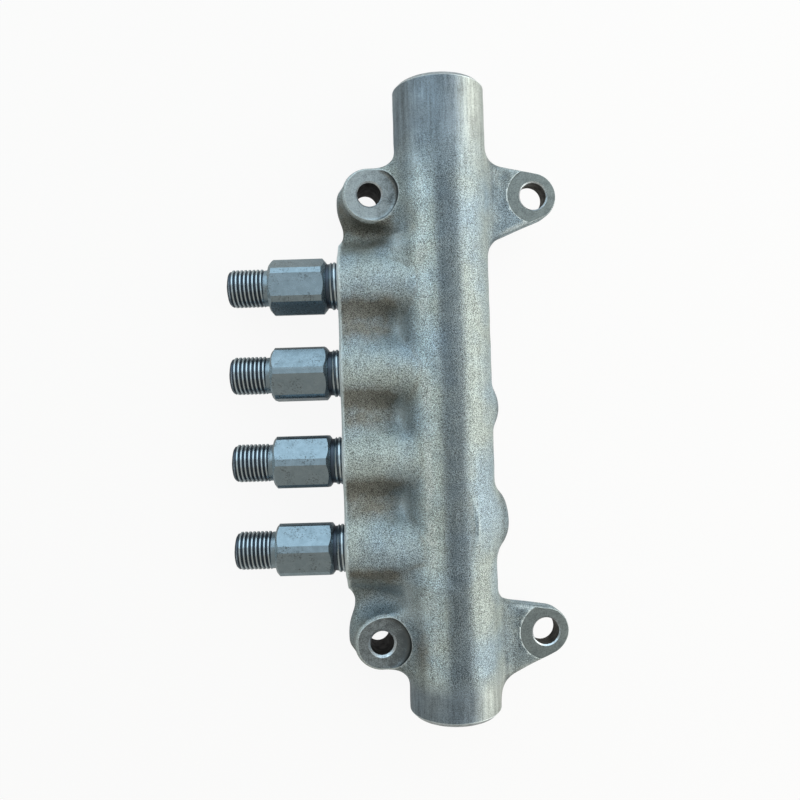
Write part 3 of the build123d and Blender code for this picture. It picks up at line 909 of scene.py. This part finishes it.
def coil_surface(foot, start, end):
    """A round wire along a helix: the helix's points plus a small circle, across the path and facing
    out of the coil. Its ends are drawn to a point over a small share of its length, which closes the
    tube."""
    way, side, third = square_to(outlet_way)
    rings_per_turn, point_share = 28, 1 / 400
    t = np.linspace(0, 1, coil_turns * rings_per_turn + 1)[:, None, None]
    around = np.linspace(0, 2 * pi, 13)[None, :, None]
    turn = 2 * pi * coil_turns * t
    spoke = np.cos(turn) * side + np.sin(turn) * third
    pointed = np.clip(np.minimum(t, 1 - t) / point_share, 0, 1)
    middle = foot + (start + (end - start) * t) * way + coil_radius * spoke
    points = middle + wire_radius * pointed * (np.cos(around) * spoke + np.sin(around) * way)
    index = np.arange(points[..., 0].size).reshape(points.shape[:2])
    return points.reshape(-1, 3), grid_faces(index)


def steel(name, colour, roughness, size):
    """Plain bright steel with a faint grain of a given size."""
    material, shader, place = finish_of(name)
    grain = place.noise(size, 3.0, 0.6)
    tone = grain.mixed(tuple(0.8 * c for c in colour), tuple(1.15 * c for c in colour))
    wire_up(shader, place, tone, roughness + grain * 0.12, grain, 0.004)
    return material


spring_wire = steel("spring_wire", (0.36, 0.35, 0.34), 0.28, 0.5)
for number, foot in enumerate(outlet_feet, 1):
    coil_start = shoulder + coil_gap + wire_radius
    coil_end = chamber_end - coil_gap - wire_radius
    spring = new_piece(f"damper_coil_{number}", *coil_surface(foot, coil_start, coil_end))
    spring.data.shade_smooth()
    spring.data.materials.append(spring_wire)
    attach(spring, "rail")
    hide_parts(f"damper_spring_{number}")
    tuple((foot + outlet_way * chamber_end) * mm)
    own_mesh(spring)


# Pistons, stops and sealing rings
# Inside each fitting a ground piston slides between a pressed-in stop and the spring, and a soft
# steel ring seals the fitting against the floor of its port.

finishes = {
    "damper_piston": steel("ground_steel", (0.60, 0.60, 0.61), 0.16, 0.3),
    "damper_stop": steel("hardened_steel", (0.50, 0.50, 0.51), 0.24, 0.4),
    "seat_washer": steel("soft_steel", (0.46, 0.45, 0.43), 0.36, 0.6),
}
for kind, finish in finishes.items():
    for number in range(1, 5):
        inner = frame["nodes"][f"{kind}_{number}"]
        inner.data.materials.clear()
        inner.data.materials.append(finish)


# Floor, lights and background
# A pale floor under cool daylight from the top of the picture, with a warmer light from its right and
# a faint one overhead. The camera sees the background white, and the part is lit by a dimmer one.

floor_half = 900
floor = new_piece(
    "floor", floor_half * np.array([(-1, -1, 0), (1, -1, 0), (1, 1, 0), (-1, 1, 0)], float),
    np.array([(0, 1, 2, 3)]),
)
floor_finish = bpy.data.materials.new("floor")
floor_finish.use_nodes = True
floor_tree = floor_finish.node_tree
floor_shader = floor_tree.nodes["Principled BSDF"]
floor_shader.inputs["Base Color"].default_value = (0.66, 0.64, 0.60, 1)
floor_shader.inputs["Roughness"].default_value = 0.9


def background_share(tree):
    """How much of the white background a ray sees: the camera and glass all of it, a gloss a share."""
    gloss_share = 0.25
    kinds = ("Is Camera Ray", "Is Glossy Ray", "Is Transmission Ray")
    camera_ray, glossy, through = (Wire(tree).make("ShaderNodeLightPath", output=kind) for kind in kinds)
    return (camera_ray + glossy * gloss_share + through).held(0, 1)


floor_white, world_dim = 0.92, (0.29, 0.262, 0.20)
share = background_share(floor_tree)
white = share.make("ShaderNodeEmission", None, {"Strength": 1.0})
own = Wire(floor_tree, floor_shader.outputs[0])
floor_mix = share.make("ShaderNodeMixShader", None, {0: share * floor_white, 1: own, 2: white})
floor_tree.links.new(floor_mix.socket, floor_tree.nodes["Material Output"].inputs["Surface"])
floor.data.materials.append(floor_finish)

world = bpy.data.worlds.new("studio")
world.use_nodes = True
bpy.context.scene.world = world
background = world.node_tree.nodes["Background"]
tone = background_share(world.node_tree).mixed(world_dim, (1.0, 1.0, 1.0))
world.node_tree.links.new(tone.socket, background.inputs["Color"])


def soft_light(name, place, width, height, power, colour):
    """An area lamp at a place in millimetres, facing the part's middle."""
    lamp = bpy.data.lights.new(name, "AREA")
    lamp.shape = "RECTANGLE"
    lamp.size = width * mm
    lamp.size_y = height * mm
    lamp.energy = power
    lamp.color = colour
    holder = bpy.data.objects.new(name, lamp)
    bpy.context.scene.collection.objects.link(holder)
    spot = Vector(place) * mm
    aim = Vector((20, 0, 10)) * mm - spot
    holder.matrix_world = Matrix.Translation(spot) @ aim.to_track_quat("-Z", "Y").to_matrix().to_4x4()


soft_light("sky", (-80, 640, 420), 1400, 800, 4.3, (0.60, 0.835, 1.0))
soft_light("wall", (620, 60, 330), 1200, 800, 6.6, (1.0, 0.99, 0.93))
soft_light("overhead", (-60, 0, 700), 500, 500, 0.4, (0.55, 0.80, 1.0))

bpy.context.scene.view_settings.view_transform = "Standard"
